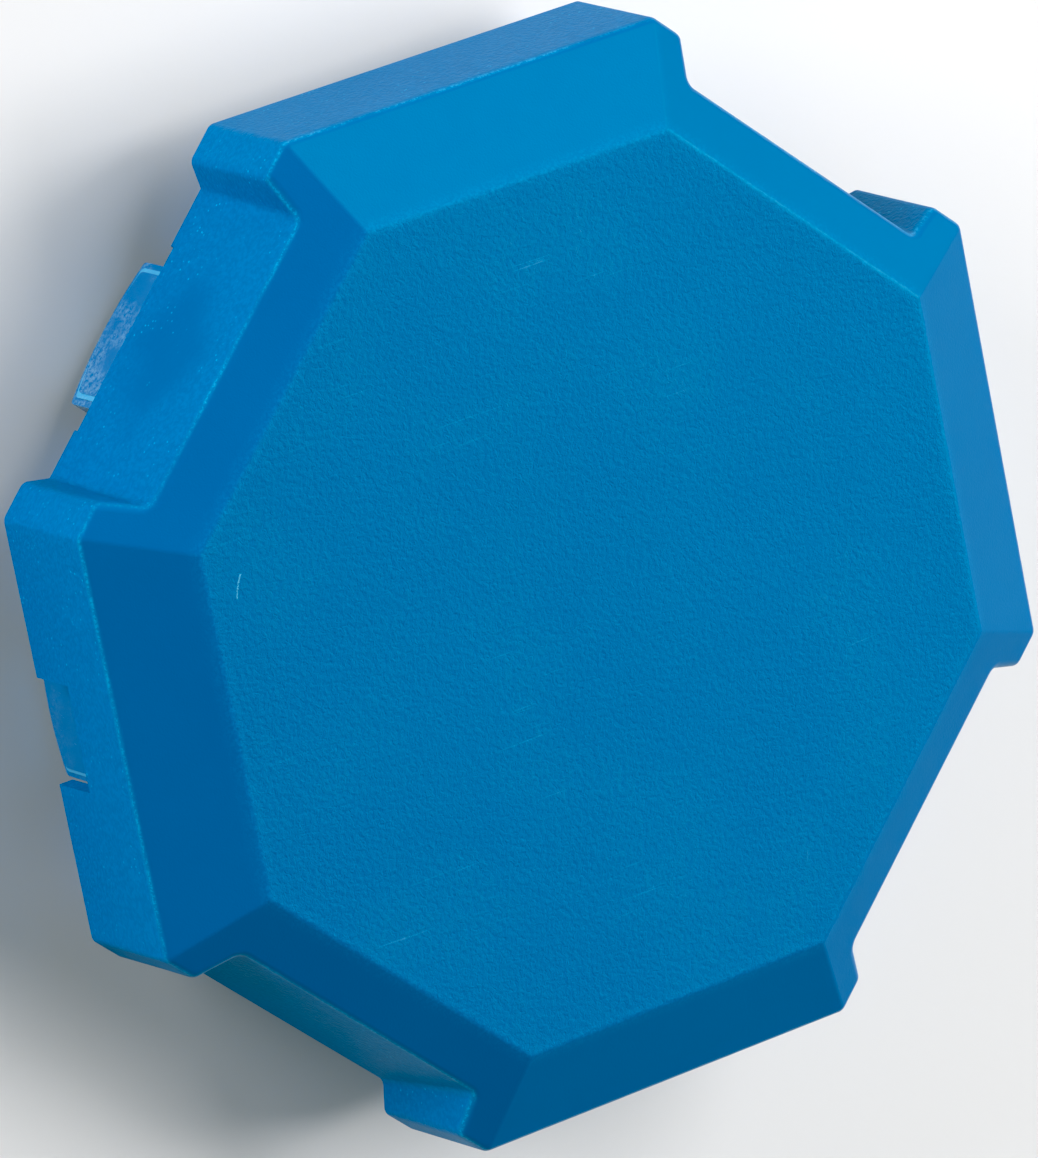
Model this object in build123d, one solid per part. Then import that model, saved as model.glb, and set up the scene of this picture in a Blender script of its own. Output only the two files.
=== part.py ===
"""Octagonal off-ice training puck: two hollow shells, four sprung release tabs and a steel weight stack.

The puck lies flat, rear face down at z = 0 and flat front face up.  Its eight sides are numbered
from +X anticlockwise.  The four straight to the axes are lobes, and the four between them carry
shallow recesses.  In the local frame of a side, X points outwards and Y runs along the side.
"""
from build123d import *
import os
from math import cos, hypot, pi, radians, tan

# Overall sizes, mm
across_lobes = 76.2
shell_depth = 13.85
cover_depth = 5.2
face_across_flats = 61.6
band_height = 3.83

# Outline of the sides
lobe_draft = 1.15
recess_rim_depth = 2.0
recess_draft = 6.2
stub_length = 2.95
shoulder_run = 1.4
edge_radius = 0.8

# Front shell
wall = 1.1
face_thickness = 1.4
notch_width = 8.0
notch_depth = 4.15
ledge_thickness = 0.8
ledge_width = 7.0
rib_thickness = 1.0
rib_depth = 2.2
pad_ring_depth = 3.6

# Rear cover
cover_wall = 1.4
cover_floor = 1.6
cover_band_height = 4.0
spigot_height = 3.0
pocket_reach = 7.9
pocket_side_gap = 1.7
pocket_wall = 1.4
channel_rib_height = 3.0
boss_radius = 2.3
boss_gap = 1.1
well_wall = 1.2

# Release tabs
recess_tab_width = 11.4
notch_tab_width = 9.8
tab_arch = 0.7
tab_proud = 4.6
tab_thickness = 1.6
tab_setback = 2.35
border_step = 0.2
border_widths = (0.5, 0.85)
tab_corner_radius = 0.4
stem_width = 6.0
stem_height = 2.4
stem_rise = 1.8
collar_width = 8.0
collar_length = 2.4
upright_thickness = 1.2
nose_height = 0.8
notch_tab_rise = 2.0
press_travel = 1.2

# Springs
spring_space = 3.75
spring_wire = 0.35
spring_diameter = 2.2
spring_turns = 4
seat_radius = 0.65
seat_length = 1.0

# Weight stack, pads and keeper
weight_thickness = 2.8
weight_count = 3
weight_hole_radius = 2.5
rear_pad_thickness = 1.0
keeper_thickness = 1.0
keeper_lap = 4.2
keeper_ear_radius = 3.1
screw_radius = 1.0
screw_length = 8.0
screw_head_radius = 1.9
screw_head_height = 1.2

# Clearances
rim_clearance = 0.3
slide_clearance = 0.2
stop_clearance = 0.05
catch_clearance = 0.15
pad_clearance = 0.2
pad_margin = 1.0
screw_clearance = 0.02

# Levels and places that follow
rim_z = cover_depth
puck_height = cover_depth + shell_depth
face_apothem = face_across_flats / 2
lobe_front = across_lobes / 2 - (shell_depth - band_height) * tan(radians(lobe_draft))
band_slope = (lobe_front - face_apothem) / band_height
cover_rim = across_lobes / 2 - wall - rim_clearance
cover_band_slope = (cover_rim - face_apothem) / cover_band_height
shell_inner_z = puck_height - face_thickness
spigot_top = rim_z + spigot_height

tab_face = across_lobes / 2 - tab_setback
tab_back = tab_face - tab_thickness
tab_low_z = rim_z - tab_proud
recess_tab_top = rim_z - rim_clearance
notch_tab_top = rim_z + notch_tab_rise
pocket_back = across_lobes / 2 - pocket_reach
pocket_wall_face = pocket_back - pocket_wall
stem_z = tab_low_z + stem_rise
stem_top = stem_z + stem_height
collar_face = pocket_wall_face - stop_clearance
stem_end = collar_face - collar_length
well_outside = stem_end - spring_space
well_radius = well_outside - well_wall
weight_radius = well_radius - slide_clearance
boss_circle = well_outside + boss_gap + boss_radius
keeper_opening_radius = weight_radius - keeper_lap
pad_radius = keeper_opening_radius - pad_margin
upright_back = pocket_back + press_travel + slide_clearance * 2
upright_face = upright_back + upright_thickness
stack_z = cover_floor + rear_pad_thickness
deck_z = stack_z + weight_count * weight_thickness
nose_z = deck_z - nose_height / 2
ledge_z = nose_z - ledge_thickness - slide_clearance
ledge_crest = upright_face + nose_height
spring_z = stem_z + stem_height / 2

recess_sides = (45, 135, 225, 315)
tab_sides = {
    "upper_recess_tab": (135, recess_tab_width, recess_tab_top),
    "lower_recess_tab": (315, recess_tab_width, recess_tab_top),
    "left_notch_tab": (180, notch_tab_width, notch_tab_top),
    "right_notch_tab": (0, notch_tab_width, notch_tab_top),
}
notch_sides = (0, 180)
screw_sides = (45, 90, 225, 270)


def turned(side, shape):
    """Turn a shape from the local frame of side 0 to another side."""
    return Rot(0, 0, side) * shape


def block(x_range, half_width, z_range):
    """Box in a side's local frame, symmetric about its middle."""
    length = x_range[1] - x_range[0]
    height = z_range[1] - z_range[0]
    base = (Align.MIN, Align.CENTER, Align.MIN)
    return Pos(x_range[0], 0, z_range[0]) * Box(length, 2 * half_width, height, align=base)


def ring(inner, outer, z_range):
    """Upright round ring about the puck's axis."""
    return Pos(0, 0, z_range[0]) * extrude(Circle(outer) - Circle(inner), z_range[1] - z_range[0])


def disc(radius, z_range):
    """Round plate about the puck's axis."""
    return Pos(0, 0, z_range[0]) * extrude(Circle(radius), z_range[1] - z_range[0])


# ---------------------------------------------------------------- common outline
def lobe_apothem(z):
    """Distance from the axis to a lobe's wall at a level."""
    return across_lobes / 2 - (z - rim_z) * tan(radians(lobe_draft))


def recess_mouth(z, inset):
    """Section of the space in front of side 0's recess at a level, grown by an inset."""
    lobe = lobe_apothem(z)
    recess = across_lobes / 2 - recess_rim_depth - (z - rim_z) * tan(radians(recess_draft))
    run = shoulder_run / (lobe - recess)
    half = lobe * tan(pi / 8) - stub_length - shoulder_run + inset * (hypot(1, run) - run)
    low = recess - inset
    high = across_lobes
    corners = [(low, -half), (high, -half - run * (high - low))]
    corners += [(x, -y) for x, y in reversed(corners)]
    return Pos(0, 0, z) * Polygon(*corners, align=None)


def side_prism(z_range, inset=0.0):
    """Solid between two levels with the puck's drafted sides, inset by a wall."""
    prism = loft([octagon(lobe_apothem(z) - inset, z) for z in z_range], ruled=True)
    mouth = loft([recess_mouth(z, inset) for z in z_range], ruled=True)
    for side in recess_sides:
        prism -= turned(side, mouth)
    return prism


def octagon(apothem, z):
    """Regular octagon with flats facing the eight sides."""
    return Pos(0, 0, z) * RegularPolygon(apothem, 8, major_radius=False, rotation=22.5)


def banded(apothem, slope, face_z, base_z):
    """Octagonal frustum from a flat face down or up to a base level."""
    spread = slope * abs(face_z - base_z)
    return loft([octagon(apothem, face_z), octagon(apothem + spread, base_z)], ruled=True)


def inner_apothem(slope, skin, floor):
    """Apothem of a band's inner face where it meets the floor's inner face."""
    return face_apothem - skin * hypot(1, slope) + slope * floor


# ---------------------------------------------------------------- front shell
def shell_body():
    """Outer form of the front shell, with every edge softened but those of the rim."""
    body = side_prism((rim_z, puck_height)) & banded(face_apothem, band_slope, puck_height, rim_z)
    return fillet(body.edges().group_by(Axis.Z)[1:], edge_radius)


def shell_cavity():
    """Hollow of the front shell, open at the rim."""
    sides = side_prism((rim_z - 1, puck_height), wall)
    inner = inner_apothem(band_slope, wall, face_thickness)
    return sides & banded(inner, band_slope, shell_inner_z, rim_z - 1)


def shell_ribs():
    """Ring round the front pad, and eight corner ribs that turn down onto the spigot as stops."""
    top = shell_inner_z + face_thickness / 2
    bars = ring(pad_radius + slide_clearance, pad_radius + slide_clearance + rib_thickness,
                (shell_inner_z - pad_ring_depth, top))
    stop_start = (cover_rim - cover_wall - rib_depth) / cos(pi / 8)
    for corner in range(8):
        bar = block((pad_radius + rib_thickness, across_lobes), rib_thickness / 2,
                    (shell_inner_z - rib_depth, top))
        stop = block((stop_start, across_lobes), rib_thickness / 2, (spigot_top, top))
        bars += turned(22.5 + 45 * corner, bar + stop)
    return bars


def catch_ledges():
    """Ledge inside the wall at each tab, which the tab's nose sits over."""
    ledge = block((ledge_crest, across_lobes / 2), ledge_width / 2, (ledge_z, ledge_z + ledge_thickness))
    return [turned(side, ledge) for side, _, _ in tab_sides.values()]


def front_shell():
    """Flat face, sloping band, drafted sides with four recesses, and two rim notches."""
    body = shell_body()
    trim = side_prism((rim_z, puck_height), wall / 2) & banded(
        face_apothem - face_thickness / 2, band_slope, puck_height, rim_z)
    shell = body - shell_cavity() + (shell_ribs() & trim)
    for ledge in catch_ledges():
        shell += ledge & trim
    for side in notch_sides:
        notch = block((tab_face, across_lobes), notch_width / 2, (rim_z - 1, rim_z + notch_depth))
        shell -= turned(side, notch)
    return shell


# ---------------------------------------------------------------- rear cover
def cover_form(top, inset):
    """Rear cover's outer form up to a level, inset from its own outside."""
    sides = side_prism((0, top), wall + rim_clearance + inset)
    apothem = inner_apothem(cover_band_slope, inset, cover_floor) if inset else face_apothem
    face_z = cover_floor if inset else 0
    return sides & banded(apothem, cover_band_slope, face_z, top)


def pocket_block(width, extra, low, high):
    """Block round a tab's pocket, grown by a wall."""
    half = width / 2 + pocket_side_gap + extra
    return block((pocket_back - extra, across_lobes), half, (low, high))


def stem_window():
    """Slot in a pocket's back wall, open at the top so the tab drops in."""
    return block((pocket_wall_face - 1, pocket_back + 1), stem_width / 2 + slide_clearance,
                 (stem_z - slide_clearance, deck_z + 1))


def collar_space():
    """Room for a collar and its spring, which the sloping band must leave."""
    return block((well_outside, pocket_wall_face), collar_width / 2 + slide_clearance,
                 (stem_z - slide_clearance, deck_z + 1))


def stem_channel():
    """Two guide ribs beside a collar, and the spring's seat on the weight well."""
    inner = collar_width / 2 + slide_clearance
    reach = (well_outside - well_wall / 2, pocket_wall_face)
    rails = block(reach, inner + rib_thickness, (cover_floor, cover_floor + channel_rib_height))
    rails -= block((0, across_lobes), inner, (0, deck_z))
    root = well_outside - well_wall / 2
    seat = Pos(root, 0, spring_z) * Rot(0, 90, 0) * Cylinder(
        seat_radius, seat_length + well_wall / 2, align=(Align.CENTER, Align.CENTER, Align.MIN))
    return rails + seat


def rear_cover():
    """Flat rear face, sloping band, spigot, weight well, four pockets and four screw bosses."""
    cover = cover_form(spigot_top, 0) - cover_form(spigot_top + 1, cover_wall)
    cover += ring(well_radius, well_outside, (cover_floor / 2, deck_z))
    limit = cover_form(deck_z, 0)
    for side, width, _ in tab_sides.values():
        cover += turned(side, pocket_block(width, pocket_wall, 0, deck_z)) & limit
    for side, width, _ in tab_sides.values():
        cover -= turned(side, pocket_block(width, 0, -1, deck_z + 1))
        cover -= turned(side, stem_window())
        cover -= turned(side, collar_space())
        cover += turned(side, stem_channel())
    for side in screw_sides:
        boss = Pos(boss_circle, 0, cover_floor / 2) * extrude(Circle(boss_radius), deck_z - cover_floor / 2)
        hole = Pos(boss_circle, 0, deck_z) * extrude(Circle(screw_radius), -(screw_length + 1 - keeper_thickness))
        cover = cover + turned(side, boss) - turned(side, hole)
    return cover


# ---------------------------------------------------------------- release tabs
def tab_layer(width, top, inset, x_range):
    """One layer of the thumb plate: arched lower edge, straight ends."""
    half = width / 2 - inset
    low = tab_low_z + inset
    end = low + tab_arch
    arch = ThreePointArc((-half, end), (0, low), (half, end))
    sides = Polyline((half, end), (half, top), (-half, top), (-half, end))
    face = make_face(arch + sides)
    corners = face.vertices().sort_by(Axis.Y)[:2]
    face = fillet(corners, tab_corner_radius)
    plate = extrude(Plane.YZ * face, x_range[1] - x_range[0])
    return Pos(x_range[0], 0, 0) * plate


def release_tab(width, top):
    """Thumb plate with a stepped border, on a stem with a collar and a catch nose."""
    steps = len(border_widths)
    plate_face = tab_face - steps * border_step
    tab = tab_layer(width, top, 0, (tab_back, plate_face))
    for step, inset in enumerate(border_widths):
        tab += tab_layer(width, top, inset, (plate_face, plate_face + (step + 1) * border_step))
    tab += block((stem_end, tab_back + tab_thickness / 2), stem_width / 2, (stem_z, stem_top))
    tab += block((stem_end, collar_face), collar_width / 2, (stem_z, stem_top))
    tab += block((upright_back, upright_face), stem_width / 2, (stem_top, nose_z + nose_height))
    nose_reach = (upright_back, ledge_crest - catch_clearance)
    tab += block(nose_reach, stem_width / 2, (nose_z, nose_z + nose_height))
    seat = Pos(stem_end, 0, spring_z) * Rot(0, -90, 0) * Cylinder(
        seat_radius, seat_length, align=(Align.CENTER, Align.CENTER, Align.MIN))
    return tab + seat


def tab_spring():
    """Compression spring between the weight well and a tab's stem."""
    length = stem_end - well_outside - 2 * stop_clearance - spring_wire
    radius = (spring_diameter - spring_wire) / 2 + seat_radius / 4
    coil = Helix(pitch=length / spring_turns, height=length, radius=radius)
    section = Plane(origin=coil @ 0, z_dir=coil % 0) * Circle(spring_wire / 2)
    spring = sweep(section, path=coil)
    start = well_outside + stop_clearance + spring_wire / 2
    return Pos(start, 0, spring_z) * Rot(0, 90, 0) * spring


# ---------------------------------------------------------------- weights, pads and keeper
def weight_plate(index):
    """One steel plate of the stack, with a lifting hole."""
    low = stack_z + index * weight_thickness
    return ring(weight_hole_radius, weight_radius, (low, low + weight_thickness))


def keeper_plate():
    """Steel ring over the stack, with four ears for screws and four bent fingers over the stems."""
    level = (deck_z, deck_z + keeper_thickness)
    plate = disc(well_outside, level)
    finger_face = pocket_back - slide_clearance
    for side in screw_sides:
        ear = Pos(boss_circle, 0, deck_z) * extrude(Circle(keeper_ear_radius), keeper_thickness)
        neck = block((0, boss_circle), keeper_ear_radius, level)
        plate += turned(side, ear + neck)
    for side, _, _ in tab_sides.values():
        arm = block((0, finger_face), stem_width / 2, level)
        finger = block((finger_face - keeper_thickness, finger_face), stem_width / 2,
                       (stem_top + slide_clearance, level[1]))
        plate += turned(side, arm + finger)
    plate -= disc(keeper_opening_radius, (deck_z - 1, deck_z + 2 * keeper_thickness))
    hole = Pos(boss_circle, 0, deck_z) * extrude(Circle(screw_radius), keeper_thickness)
    for side in screw_sides:
        plate -= turned(side, hole)
    return plate


def keeper_screws():
    """Four self-tapping screws with cross recesses."""
    seat = deck_z + keeper_thickness
    head = Pos(0, 0, seat) * extrude(Circle(screw_head_radius), screw_head_height)
    head = fillet(head.edges().group_by(Axis.Z)[-1], screw_head_height / 3)
    shank = Pos(0, 0, seat) * extrude(Circle(screw_radius - screw_clearance), -screw_length)
    slot = Box(screw_head_radius * 1.2, screw_head_radius / 4, screw_head_height)
    cross = Pos(0, 0, seat + screw_head_height) * (slot + Rot(0, 0, 90) * slot)
    screw = head + shank - cross
    return Compound(children=[turned(side, Pos(boss_circle, 0, 0) * screw) for side in screw_sides])


def build_parts():
    """Every sub-part by its node name."""
    parts = {
        "front_shell": front_shell(),
        "rear_cover": rear_cover(),
        "keeper_plate": keeper_plate(),
        "keeper_screws": keeper_screws(),
        "rear_pad": disc(weight_radius, (cover_floor, stack_z)),
        "front_pad": disc(pad_radius, (deck_z + pad_clearance, shell_inner_z)),
    }
    for index, place in enumerate(("lower", "middle", "upper")[:weight_count]):
        parts[f"weight_plate_{place}"] = weight_plate(index)
    for name, (side, width, top) in tab_sides.items():
        parts[name] = turned(side, release_tab(width, top))
        parts[f"{name}_spring"] = turned(side, tab_spring())
    return parts


os.makedirs("parts", exist_ok=True)
for node, shape in build_parts().items():
    export_step(shape, f"parts/{node}.step")
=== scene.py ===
"""Looks of the octagonal training puck: moulded blue plastic, glossy tabs, steel and foam inside."""

from math import cos, pi, radians, sin

import bmesh
import bpy
from mathutils import Matrix, Vector


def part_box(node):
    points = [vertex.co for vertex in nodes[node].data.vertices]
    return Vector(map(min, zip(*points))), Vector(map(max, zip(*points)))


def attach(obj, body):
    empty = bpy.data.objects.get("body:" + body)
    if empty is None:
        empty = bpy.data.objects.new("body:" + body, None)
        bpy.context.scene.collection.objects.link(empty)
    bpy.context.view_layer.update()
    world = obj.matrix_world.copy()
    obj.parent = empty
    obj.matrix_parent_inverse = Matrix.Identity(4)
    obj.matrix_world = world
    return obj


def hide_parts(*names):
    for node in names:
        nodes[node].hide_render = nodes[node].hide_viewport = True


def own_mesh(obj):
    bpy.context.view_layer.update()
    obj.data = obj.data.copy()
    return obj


# Camera, in metres and degrees: it looks down on the front face from between two left sides
AIM = (-0.00621, 0.00317)
VIEW_AZIMUTH = 149.80
VIEW_TILT = 33.36
VIEW_ROLL = 104.76
VIEW_DISTANCE = 0.7561
LENS = 332.9
SENSOR = 36.0

# Puck's own sizes that the materials follow, in metres
MM = 0.001
FACE_APOTHEM = 30.8 * MM
GRAIN_CELL = 0.30 * MM
SCRATCH_AZIMUTH = 70.0
NICK_CENTRE = (-28.35 * MM, 9.76 * MM)
NICK_AZIMUTH = 67.6
NICK_BOW = 110.0
TAB_STEP = (35.42 * MM, 35.68 * MM)
TAB_BACK = 34.9 * MM
# Where the painted shade patch sits on the recess walls: height, half width, half height
SHADE_PATCH_HEIGHT = 10.5 * MM
SHADE_PATCH_HALF_WIDTH = 8.0 * MM
SHADE_PATCH_HALF_HEIGHT = 5.5 * MM

# Springs: where they end, measured outwards from the axis, and how the wire is coiled
SPRING_INNER_END = 22.65 * MM
SPRING_OUTER_END = 26.30 * MM
SPRING_AXIS_HEIGHT = 3.6 * MM
SPRING_COIL_RADIUS = 1.09 * MM
SPRING_WIRE_RADIUS = 0.175 * MM
SPRING_TURNS = 4
SPRING_CLOSING = 0.55
SPRING_STEPS = 144
SPRING_SIDES = 10

# Grading of the render, and the lights: name, azimuth, elevation, size, power, seen in reflections
RED_BLACK_LEVEL = 0.03
LIGHT_DISTANCE = 1.0
WORLD_STRENGTH = 0.05
LIGHTS = (
    ("key", 0, 42, 0.6, 11.2, True),
    ("fill", 45, 42, 0.6, 5.0, True),
    ("side", 142, 10, 0.45, 13.0, False),
    ("low", 180, 8, 0.45, 0.8, False),
    ("back", 285, 25, 0.6, 1.0, False),
    ("far", 0, 8, 0.45, 0.8, False),
)

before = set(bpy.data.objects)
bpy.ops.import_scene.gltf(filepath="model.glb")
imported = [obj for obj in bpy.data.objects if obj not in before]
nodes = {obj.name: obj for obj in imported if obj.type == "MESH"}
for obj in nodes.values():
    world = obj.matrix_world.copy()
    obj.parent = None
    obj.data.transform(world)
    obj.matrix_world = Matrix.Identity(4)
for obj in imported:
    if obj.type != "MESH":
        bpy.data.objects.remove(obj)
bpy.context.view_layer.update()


# ---------------------------------------------------------------- node helpers
class Shader:
    """A material's node tree, with short calls for the nodes used here."""

    def __init__(self, name):
        self.material = bpy.data.materials.new(name)
        self.material.use_nodes = True
        self.tree = self.material.node_tree
        self.bsdf = self.tree.nodes["Principled BSDF"]
        coords = self.add("ShaderNodeTexCoord")
        self.place = coords.outputs["Object"]
        self.normal = coords.outputs["Normal"]

    def add(self, kind, **settings):
        node = self.tree.nodes.new(kind)
        for key, value in settings.items():
            setattr(node, key, value)
        return node

    def join(self, value, socket):
        """Link an output to a socket, or set the socket to a plain value."""
        if isinstance(value, bpy.types.NodeSocket):
            self.tree.links.new(value, socket)
        else:
            socket.default_value = value

    def math(self, operation, *values, clamp=False):
        node = self.add("ShaderNodeMath", operation=operation, use_clamp=clamp)
        for index, value in enumerate(values):
            self.join(value, node.inputs[index])
        return node.outputs[0]

    def noise(self, cell, detail=2.0, rough=0.5, place=None, distortion=0.0):
        node = self.add("ShaderNodeTexNoise")
        self.join(place or self.place, node.inputs["Vector"])
        node.inputs["Scale"].default_value = 1 / cell
        node.inputs["Detail"].default_value = detail
        node.inputs["Roughness"].default_value = rough
        node.inputs["Distortion"].default_value = distortion
        return node.outputs["Fac"]

    def cells(self, cell, feature="F1", randomness=1.0, place=None):
        node = self.add("ShaderNodeTexVoronoi", feature=feature)
        self.join(place or self.place, node.inputs["Vector"])
        node.inputs["Scale"].default_value = 1 / cell
        node.inputs["Randomness"].default_value = randomness
        return node.outputs["Distance"]

    def span(self, value, low, high, out_low=0.0, out_high=1.0, smooth=False):
        node = self.add("ShaderNodeMapRange", interpolation_type="SMOOTHSTEP" if smooth else "LINEAR")
        for index, item in enumerate((value, low, high, out_low, out_high)):
            self.join(item, node.inputs[index])
        return node.outputs[0]

    def mix(self, factor, first, second):
        node = self.add("ShaderNodeMix", data_type="RGBA")
        self.join(factor, node.inputs["Factor"])
        self.join(first, node.inputs[6])
        self.join(second, node.inputs[7])
        return node.outputs[2]

    def axis(self, vector, name):
        node = self.add("ShaderNodeSeparateXYZ")
        self.join(vector, node.inputs[0])
        return node.outputs[name]

    def dot(self, vector, direction):
        node = self.add("ShaderNodeVectorMath", operation="DOT_PRODUCT")
        self.join(vector, node.inputs[0])
        node.inputs[1].default_value = direction
        return node.outputs["Value"]

    def bump(self, height, distance, strength=1.0, under=None):
        node = self.add("ShaderNodeBump")
        node.inputs["Distance"].default_value = distance
        self.join(strength, node.inputs["Strength"])
        self.join(height, node.inputs["Height"])
        if under is not None:
            self.join(under, node.inputs["Normal"])
        return node.outputs["Normal"]

    def set(self, **sockets):
        """Fill the shader's own sockets, spaces in their names written as underscores."""
        for key, value in sockets.items():
            self.join(value, self.bsdf.inputs[key.replace("_", " ")])
        return self.material


def rgb(red, green, blue):
    return (red, green, blue, 1.0)


# ---------------------------------------------------------------- materials
def octagon_reach(shader):
    """Distance from the axis measured square to the nearest of the eight sides."""
    reach = None
    for side in range(4):
        turn = side * pi / 4
        part = shader.math("ABSOLUTE", shader.dot(shader.place, (cos(turn), sin(turn), 0)))
        reach = part if reach is None else shader.math("MAXIMUM", reach, part)
    return reach


def moulded_blue(name):
    """Blue plastic: leather grain on the flat faces with painted sheen on it, satin bands, speckled walls
    with a painted shade patch and painted light on their grain, pale edges that are partly painted highlight
    and partly wear.
    """
    s = Shader(name)
    flatness = s.math("ABSOLUTE", s.axis(s.normal, "Z"))
    reach = octagon_reach(s)
    ragged = s.math("MULTIPLY_ADD", s.noise(0.9 * MM, 3.0, 0.7), 0.7 * MM, reach)
    on_face = s.math("MULTIPLY", s.span(ragged, FACE_APOTHEM + 0.2 * MM, FACE_APOTHEM + 0.55 * MM, 1.0, 0.0),
                     s.span(flatness, 0.90, 0.97), clamp=True)
    on_wall = s.span(flatness, 0.35, 0.2, smooth=True)
    on_edge = s.math("MULTIPLY", s.span(flatness, 0.06, 0.32, smooth=True),
                     s.span(flatness, 0.86, 0.62, smooth=True))
    # Painted shade: a soft dark patch in the middle of the recess walls, where the wall grain is also weaker
    along = s.math("ABSOLUTE", s.dot(s.place, (cos(pi / 4), sin(pi / 4), 0)))
    above = s.math("ABSOLUTE", s.math("SUBTRACT", s.axis(s.place, "Z"), SHADE_PATCH_HEIGHT))
    spread = s.math("ADD", s.math("DIVIDE", along, SHADE_PATCH_HALF_WIDTH), s.math("DIVIDE", above, SHADE_PATCH_HALF_HEIGHT))
    painted_shade_patch = s.math("MULTIPLY", on_wall, s.span(s.math("MULTIPLY_ADD", s.noise(4 * MM, 2.0), 0.8, spread),
                                                1.6, 0.7, smooth=True))

    leather = s.noise(GRAIN_CELL, 3.0, 0.55, distortion=0.8)
    pores = s.cells(GRAIN_CELL * 1.25, "SMOOTH_F1")
    grain = s.math("ADD", leather, s.math("MULTIPLY", pores, 0.6))
    fine = s.noise(0.16 * MM, 2.0, 0.6)
    coarse = s.noise(0.34 * MM, 2.0, 0.6)
    patch = s.noise(9 * MM, 2.0, 0.5)
    on_texture = s.math("MULTIPLY", on_wall, s.span(painted_shade_patch, 0.0, 1.0, 0.9, 0.15))
    normal = s.bump(grain, 0.056 * MM, on_face)
    normal = s.bump(fine, 0.012 * MM, 1.0, normal)
    peel = s.math("MULTIPLY", on_texture, s.span(patch, 0.3, 0.6, 0.4, 1.0))
    normal = s.bump(coarse, 0.11 * MM, peel, normal)

    tone = s.noise(14 * MM, 3.0, 0.5)
    blue = s.mix(tone, rgb(0.0, 0.090, 0.284), rgb(0.0, 0.104, 0.304))
    # Painted sheen: large patches where the raised grain of the flat face is coloured greyer and paler,
    # standing in for its reflection; the scratches below keep to these patches
    painted_sheen_patch = s.math("MULTIPLY", on_face, s.span(s.noise(11 * MM, 3.0, 0.6), 0.46, 0.66))
    colour = s.mix(s.math("MULTIPLY", painted_sheen_patch, s.span(grain, 0.55, 0.95)), blue, rgb(0.018, 0.112, 0.305))
    # Painted light and shade on the wall grain: the raised coarse grain is coloured paler
    painted_grain_light = s.math("MULTIPLY", on_texture, s.span(coarse, 0.40, 0.62))
    colour = s.mix(s.math("MULTIPLY", painted_grain_light, 0.5), colour, rgb(0.0, 0.150, 0.410))
    drag = s.add("ShaderNodeMapping")
    s.join(s.place, drag.inputs["Vector"])
    drag.inputs["Rotation"].default_value = (0.0, 0.0, radians(SCRATCH_AZIMUTH))
    drag.inputs["Scale"].default_value = (0.03, 1.0, 1.0)
    scratch = s.math("MULTIPLY", s.span(s.noise(0.22 * MM, 1.0, place=drag.outputs[0]), 0.70, 0.76), painted_sheen_patch)
    colour = s.mix(s.math("MULTIPLY", scratch, 0.5), colour, rgb(0.045, 0.200, 0.430))
    nick_turn = radians(NICK_AZIMUTH)
    nick_along = s.math("SUBTRACT", s.dot(s.place, (cos(nick_turn), sin(nick_turn), 0)),
                        NICK_CENTRE[0] * cos(nick_turn) + NICK_CENTRE[1] * sin(nick_turn))
    nick_across = s.math("SUBTRACT", s.dot(s.place, (-sin(nick_turn), cos(nick_turn), 0)),
                         NICK_CENTRE[1] * cos(nick_turn) - NICK_CENTRE[0] * sin(nick_turn))
    bowed = s.math("MULTIPLY_ADD", s.math("MULTIPLY", nick_along, nick_along), NICK_BOW, nick_across)
    nick = s.math("MULTIPLY", s.span(s.math("ABSOLUTE", bowed), 0.10 * MM, 0.04 * MM),
                  s.span(s.math("ABSOLUTE", nick_along), 1.0 * MM, 0.8 * MM))
    nick = s.math("MULTIPLY", s.math("MULTIPLY", nick, on_face), s.span(fine, 0.38, 0.58, 0.1, 0.7))
    colour = s.mix(nick, colour, rgb(0.14, 0.44, 0.66))
    # Painted shade patch: darkens the middle of the recess walls
    colour = s.mix(s.math("MULTIPLY", painted_shade_patch, 0.50), colour, rgb(0.0, 0.070, 0.240))
    specks = s.math("MULTIPLY", s.span(s.cells(0.55 * MM), 0.19, 0.10), on_wall)
    specks = s.math("MULTIPLY", specks, s.span(s.noise(3.5 * MM, 2.0), 0.46, 0.66))
    colour = s.mix(s.math("MULTIPLY", specks, 0.6), colour, rgb(0.02, 0.42, 0.74))
    flecks = s.span(s.noise(0.24 * MM, 2.0, 0.7), 0.46, 0.60, 0.10, 1.0)
    # Pale line along the fillets: a soft wide painted highlight, with dotted flecks that are partly painted
    # sparkle and partly edge wear
    line = s.math("MULTIPLY", s.span(flatness, 0.28, 0.46), s.span(flatness, 0.72, 0.54))
    edge_highlight_and_wear = s.math("MULTIPLY_ADD", s.math("MULTIPLY", line, flecks), 0.55, s.math("MULTIPLY", on_edge, 0.10))
    colour = s.mix(s.math("MULTIPLY", edge_highlight_and_wear, s.span(s.noise(6 * MM, 2.0), 0.3, 0.6, 0.35, 1.0)), colour,
                   rgb(0.04, 0.33, 0.62))
    # Ragged pale rim where the face meets the bands: partly painted highlight of the fillet, partly wear
    rim = s.math("MULTIPLY", s.span(ragged, FACE_APOTHEM - 0.5 * MM, FACE_APOTHEM + 0.35 * MM),
                 s.span(ragged, FACE_APOTHEM + 1.3 * MM, FACE_APOTHEM + 0.5 * MM), clamp=True)
    rim = s.math("MULTIPLY", s.math("MULTIPLY", rim, s.span(flatness, 0.80, 0.90)), flecks)
    colour = s.mix(s.math("MULTIPLY", rim, 0.45), colour, rgb(0.004, 0.17, 0.42))
    rough = s.math("MULTIPLY_ADD", on_wall, 0.14, s.math("MULTIPLY_ADD", on_face, 0.13, 0.34))
    rough = s.math("MULTIPLY_ADD", s.noise(1.3 * MM, 3.0, 0.6), 0.10, rough)
    return s.set(Base_Color=colour, Roughness=rough, Normal=normal, IOR=1.47, Specular_IOR_Level=0.38,
                 Specular_Tint=rgb(0.0, 0.95, 1.0))


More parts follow.
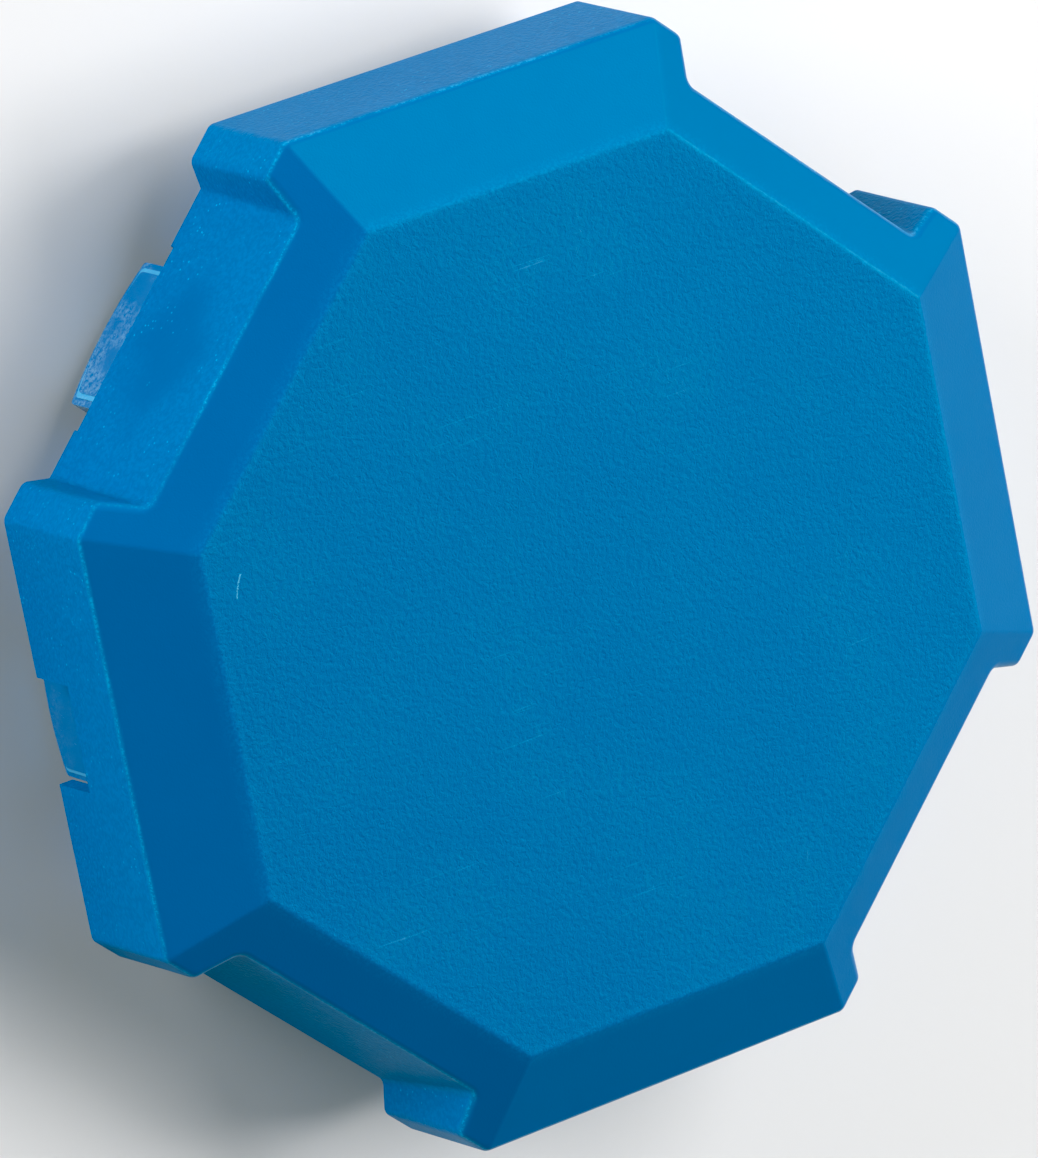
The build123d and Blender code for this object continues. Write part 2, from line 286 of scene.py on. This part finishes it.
def polished_blue(name, azimuth, reflection_paint_strength):
    """Tab plastic: the same blue, polished, with a painted highlight along its stepped border and a painted
    reflection in mottled patches on its face.
    """
    s = Shader(name)
    outward = (cos(radians(azimuth)), sin(radians(azimuth)), 0)
    facing = s.math("ABSOLUTE", s.dot(s.normal, outward))
    level = s.math("ABSOLUTE", s.dot(s.place, outward))
    colour = s.mix(s.noise(5 * MM, 2.0), rgb(0.0, 0.095, 0.30), rgb(0.0, 0.125, 0.35))
    # Painted reflection: pale grey mottled patches on the tab's face
    painted_reflection_mask = s.math("MULTIPLY", s.span(s.noise(0.30 * MM, 3.0, 0.7), 0.42, 0.60), s.span(facing, 0.90, 0.98))
    painted_reflection_mask = s.math("MULTIPLY", painted_reflection_mask, s.span(s.noise(3.0 * MM, 2.0), 0.44, 0.60))
    colour = s.mix(s.math("MULTIPLY", painted_reflection_mask, reflection_paint_strength), colour, rgb(0.17, 0.32, 0.48))
    # Painted highlight along the stepped border and where the tab turns away at its edges
    step = s.math("MULTIPLY", s.span(level, TAB_STEP[0], TAB_STEP[0] + 0.03 * MM),
                  s.span(level, TAB_STEP[1], TAB_STEP[1] - 0.03 * MM))
    painted_edge_highlight = s.math("MAXIMUM", step, s.span(facing, 0.9, 0.5))
    painted_edge_highlight = s.math("MULTIPLY", painted_edge_highlight, s.span(level, TAB_BACK, TAB_BACK + 0.05 * MM))
    colour = s.mix(s.math("MULTIPLY", painted_edge_highlight, 0.6), colour, rgb(0.08, 0.42, 0.68))
    normal = s.bump(s.noise(0.22 * MM, 2.0, 0.6), 0.014 * MM)
    rough = s.span(s.noise(0.5 * MM, 3.0, 0.65), 0.3, 0.7, 0.12, 0.28)
    return s.set(Base_Color=colour, Roughness=rough, Normal=normal, IOR=1.5, Coat_Weight=0.25,
                 Coat_Roughness=0.06)


def rolled_steel(name, dark, light, roughness):
    """Sheet or bar steel with a fine rolled grain and slight staining."""
    s = Shader(name)
    stretched = s.add("ShaderNodeMapping")
    s.join(s.place, stretched.inputs["Vector"])
    stretched.inputs["Scale"].default_value = (1.0, 14.0, 1.0)
    lines = s.noise(0.8 * MM, 3.0, 0.6, stretched.outputs[0])
    stain = s.noise(6 * MM, 4.0, 0.6)
    colour = s.mix(stain, rgb(*dark), rgb(*light))
    rough = s.math("MULTIPLY_ADD", lines, 0.16, roughness)
    return s.set(Base_Color=colour, Metallic=1.0, Roughness=rough, Normal=s.bump(lines, 0.006 * MM))


def closed_cell_foam(name):
    """Dark foam with open surface pores."""
    s = Shader(name)
    pores = s.cells(0.55 * MM, "SMOOTH_F1")
    colour = s.mix(s.span(pores, 0.2, 0.6), rgb(0.012, 0.012, 0.014), rgb(0.035, 0.035, 0.04))
    return s.set(Base_Color=colour, Roughness=0.9, Normal=s.bump(pores, 0.12 * MM))


def pale_paper(name):
    """Plain pale floor with the faintest unevenness."""
    s = Shader(name)
    colour = s.mix(s.noise(0.05, 2.0), rgb(0.72, 0.72, 0.72), rgb(0.74, 0.74, 0.74))
    return s.set(Base_Color=colour, Roughness=0.9)


def paint(material, *names):
    """Give every slot of these CAD nodes one material."""
    for name in names:
        for material_slot in nodes[name].material_slots:
            material_slot.link = "OBJECT"
            material_slot.material = material


TAB_AZIMUTHS = {"upper_recess_tab": 135, "lower_recess_tab": 315, "left_notch_tab": 180, "right_notch_tab": 0}
paint(moulded_blue("shell_blue"), "front_shell", "rear_cover")
paint(polished_blue("recess_tab_blue", 135, 0.5), "upper_recess_tab", "lower_recess_tab")
paint(polished_blue("notch_tab_blue", 0, 0.12), "left_notch_tab", "right_notch_tab")
paint(rolled_steel("zinc_sheet", (0.42, 0.43, 0.44), (0.60, 0.61, 0.62), 0.30), "keeper_plate")
paint(rolled_steel("zinc_screw", (0.45, 0.45, 0.44), (0.62, 0.61, 0.58), 0.22), "keeper_screws")
paint(rolled_steel("weight_bar", (0.20, 0.20, 0.21), (0.36, 0.36, 0.37), 0.36),
      "weight_plate_lower", "weight_plate_middle", "weight_plate_upper")
paint(closed_cell_foam("foam"), "rear_pad", "front_pad")


# ---------------------------------------------------------------- springs, coiled in place of the CAD springs
def coil_points(count):
    """The wire's middle line along +X: closed turns at both ends, open turns between them."""
    length = SPRING_OUTER_END - SPRING_INNER_END - 2 * SPRING_WIRE_RADIUS
    points = []
    for step in range(count + 1):
        share = step / count
        eased = share - SPRING_CLOSING * sin(2 * pi * share) / (2 * pi)
        turn = 2 * pi * SPRING_TURNS * share
        points.append(Vector((SPRING_INNER_END + SPRING_WIRE_RADIUS + length * eased,
                              SPRING_COIL_RADIUS * cos(turn), SPRING_COIL_RADIUS * sin(turn))))
    return points


def add_spring(tab, azimuth, material):
    """Coil between the weight well and a tab's stem, in place of the tab's CAD spring."""
    place = Matrix.Translation((0, 0, SPRING_AXIS_HEIGHT)) @ Matrix.Rotation(radians(azimuth), 4, "Z")
    line = coil_points(SPRING_STEPS)
    mesh = bmesh.new()
    rings = []
    for index, point in enumerate(line):
        ahead = (line[min(index + 1, len(line) - 1)] - line[max(index - 1, 0)]).normalized()
        side = ahead.cross(Vector((1, 0, 0))).normalized()
        over = ahead.cross(side)
        turns = (2 * pi * corner / SPRING_SIDES for corner in range(SPRING_SIDES))
        offsets = (SPRING_WIRE_RADIUS * (cos(turn) * side + sin(turn) * over) for turn in turns)
        rings.append([mesh.verts.new(place @ (point + offset)) for offset in offsets])
    for near, far in zip(rings, rings[1:]):
        for corner in range(SPRING_SIDES):
            after = (corner + 1) % SPRING_SIDES
            mesh.faces.new((near[corner], near[after], far[after], far[corner])).smooth = True
    mesh.faces.new(rings[0][::-1])
    mesh.faces.new(rings[-1])
    bmesh.ops.recalc_face_normals(mesh, faces=mesh.faces)
    data = bpy.data.meshes.new(f"{tab}_coil")
    mesh.to_mesh(data)
    mesh.free()
    data.materials.append(material)
    coil = bpy.data.objects.new(f"{tab}_coil", data)
    bpy.context.scene.collection.objects.link(coil)
    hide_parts(f"{tab}_spring")
    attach(coil, "base")
    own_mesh(coil)


spring_material = rolled_steel("spring_wire", (0.50, 0.50, 0.50), (0.66, 0.66, 0.65), 0.20)
for tab_name, tab_azimuth in TAB_AZIMUTHS.items():
    add_spring(tab_name, tab_azimuth, spring_material)


# ---------------------------------------------------------------- floor, lights and camera
def add_floor():
    bpy.ops.mesh.primitive_plane_add(size=6.0, location=(0, 0, 0))
    floor = bpy.context.object
    floor.name = "floor"
    floor.data.materials.append(pale_paper("paper"))


def add_area(name, azimuth, elevation, size, power, in_gloss):
    """Square soft light aimed at the puck. Low ones stay out of reflections, where they wash out the face."""
    turn, rise = radians(azimuth), radians(elevation)
    place = Vector((cos(turn) * cos(rise), sin(turn) * cos(rise), sin(rise))) * LIGHT_DISTANCE
    light = bpy.data.lights.new(name, "AREA")
    light.size = size
    light.energy = power
    lamp = bpy.data.objects.new(name, light)
    lamp.location = place
    lamp.visible_glossy = in_gloss
    lamp.rotation_euler = (-place).to_track_quat("-Z", "Y").to_euler()
    bpy.context.scene.collection.objects.link(lamp)


def add_world(strength):
    world = bpy.data.worlds.new("studio")
    world.use_nodes = True
    background = world.node_tree.nodes["Background"]
    background.inputs["Color"].default_value = rgb(1.0, 1.0, 1.0)
    background.inputs["Strength"].default_value = strength
    bpy.context.scene.world = world


def add_camera():
    turn, tilt = radians(VIEW_AZIMUTH), radians(VIEW_TILT)
    away = Vector((cos(turn) * sin(tilt), sin(turn) * sin(tilt), cos(tilt)))
    face_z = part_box("front_shell")[1][2]
    camera = bpy.data.cameras.new("camera")
    camera.lens = LENS
    camera.sensor_width = SENSOR
    camera.clip_end = 20.0
    holder = bpy.data.objects.new("camera", camera)
    level = away.to_track_quat("Z", "Y").to_matrix()
    holder.matrix_world = (Matrix.Translation(Vector((*AIM, face_z)) + away * VIEW_DISTANCE)
                           @ (level @ Matrix.Rotation(radians(VIEW_ROLL), 3, "Z")).to_4x4())
    bpy.context.scene.collection.objects.link(holder)
    bpy.context.scene.camera = holder


add_floor()
for light_settings in LIGHTS:
    add_area(*light_settings)
add_world(WORLD_STRENGTH)
add_camera()
grading = bpy.context.scene.view_settings
grading.view_transform = "Standard"
grading.use_curve_mapping = True
grading.curve_mapping.black_level = (RED_BLACK_LEVEL, 0.0, 0.0)
grading.curve_mapping.update()
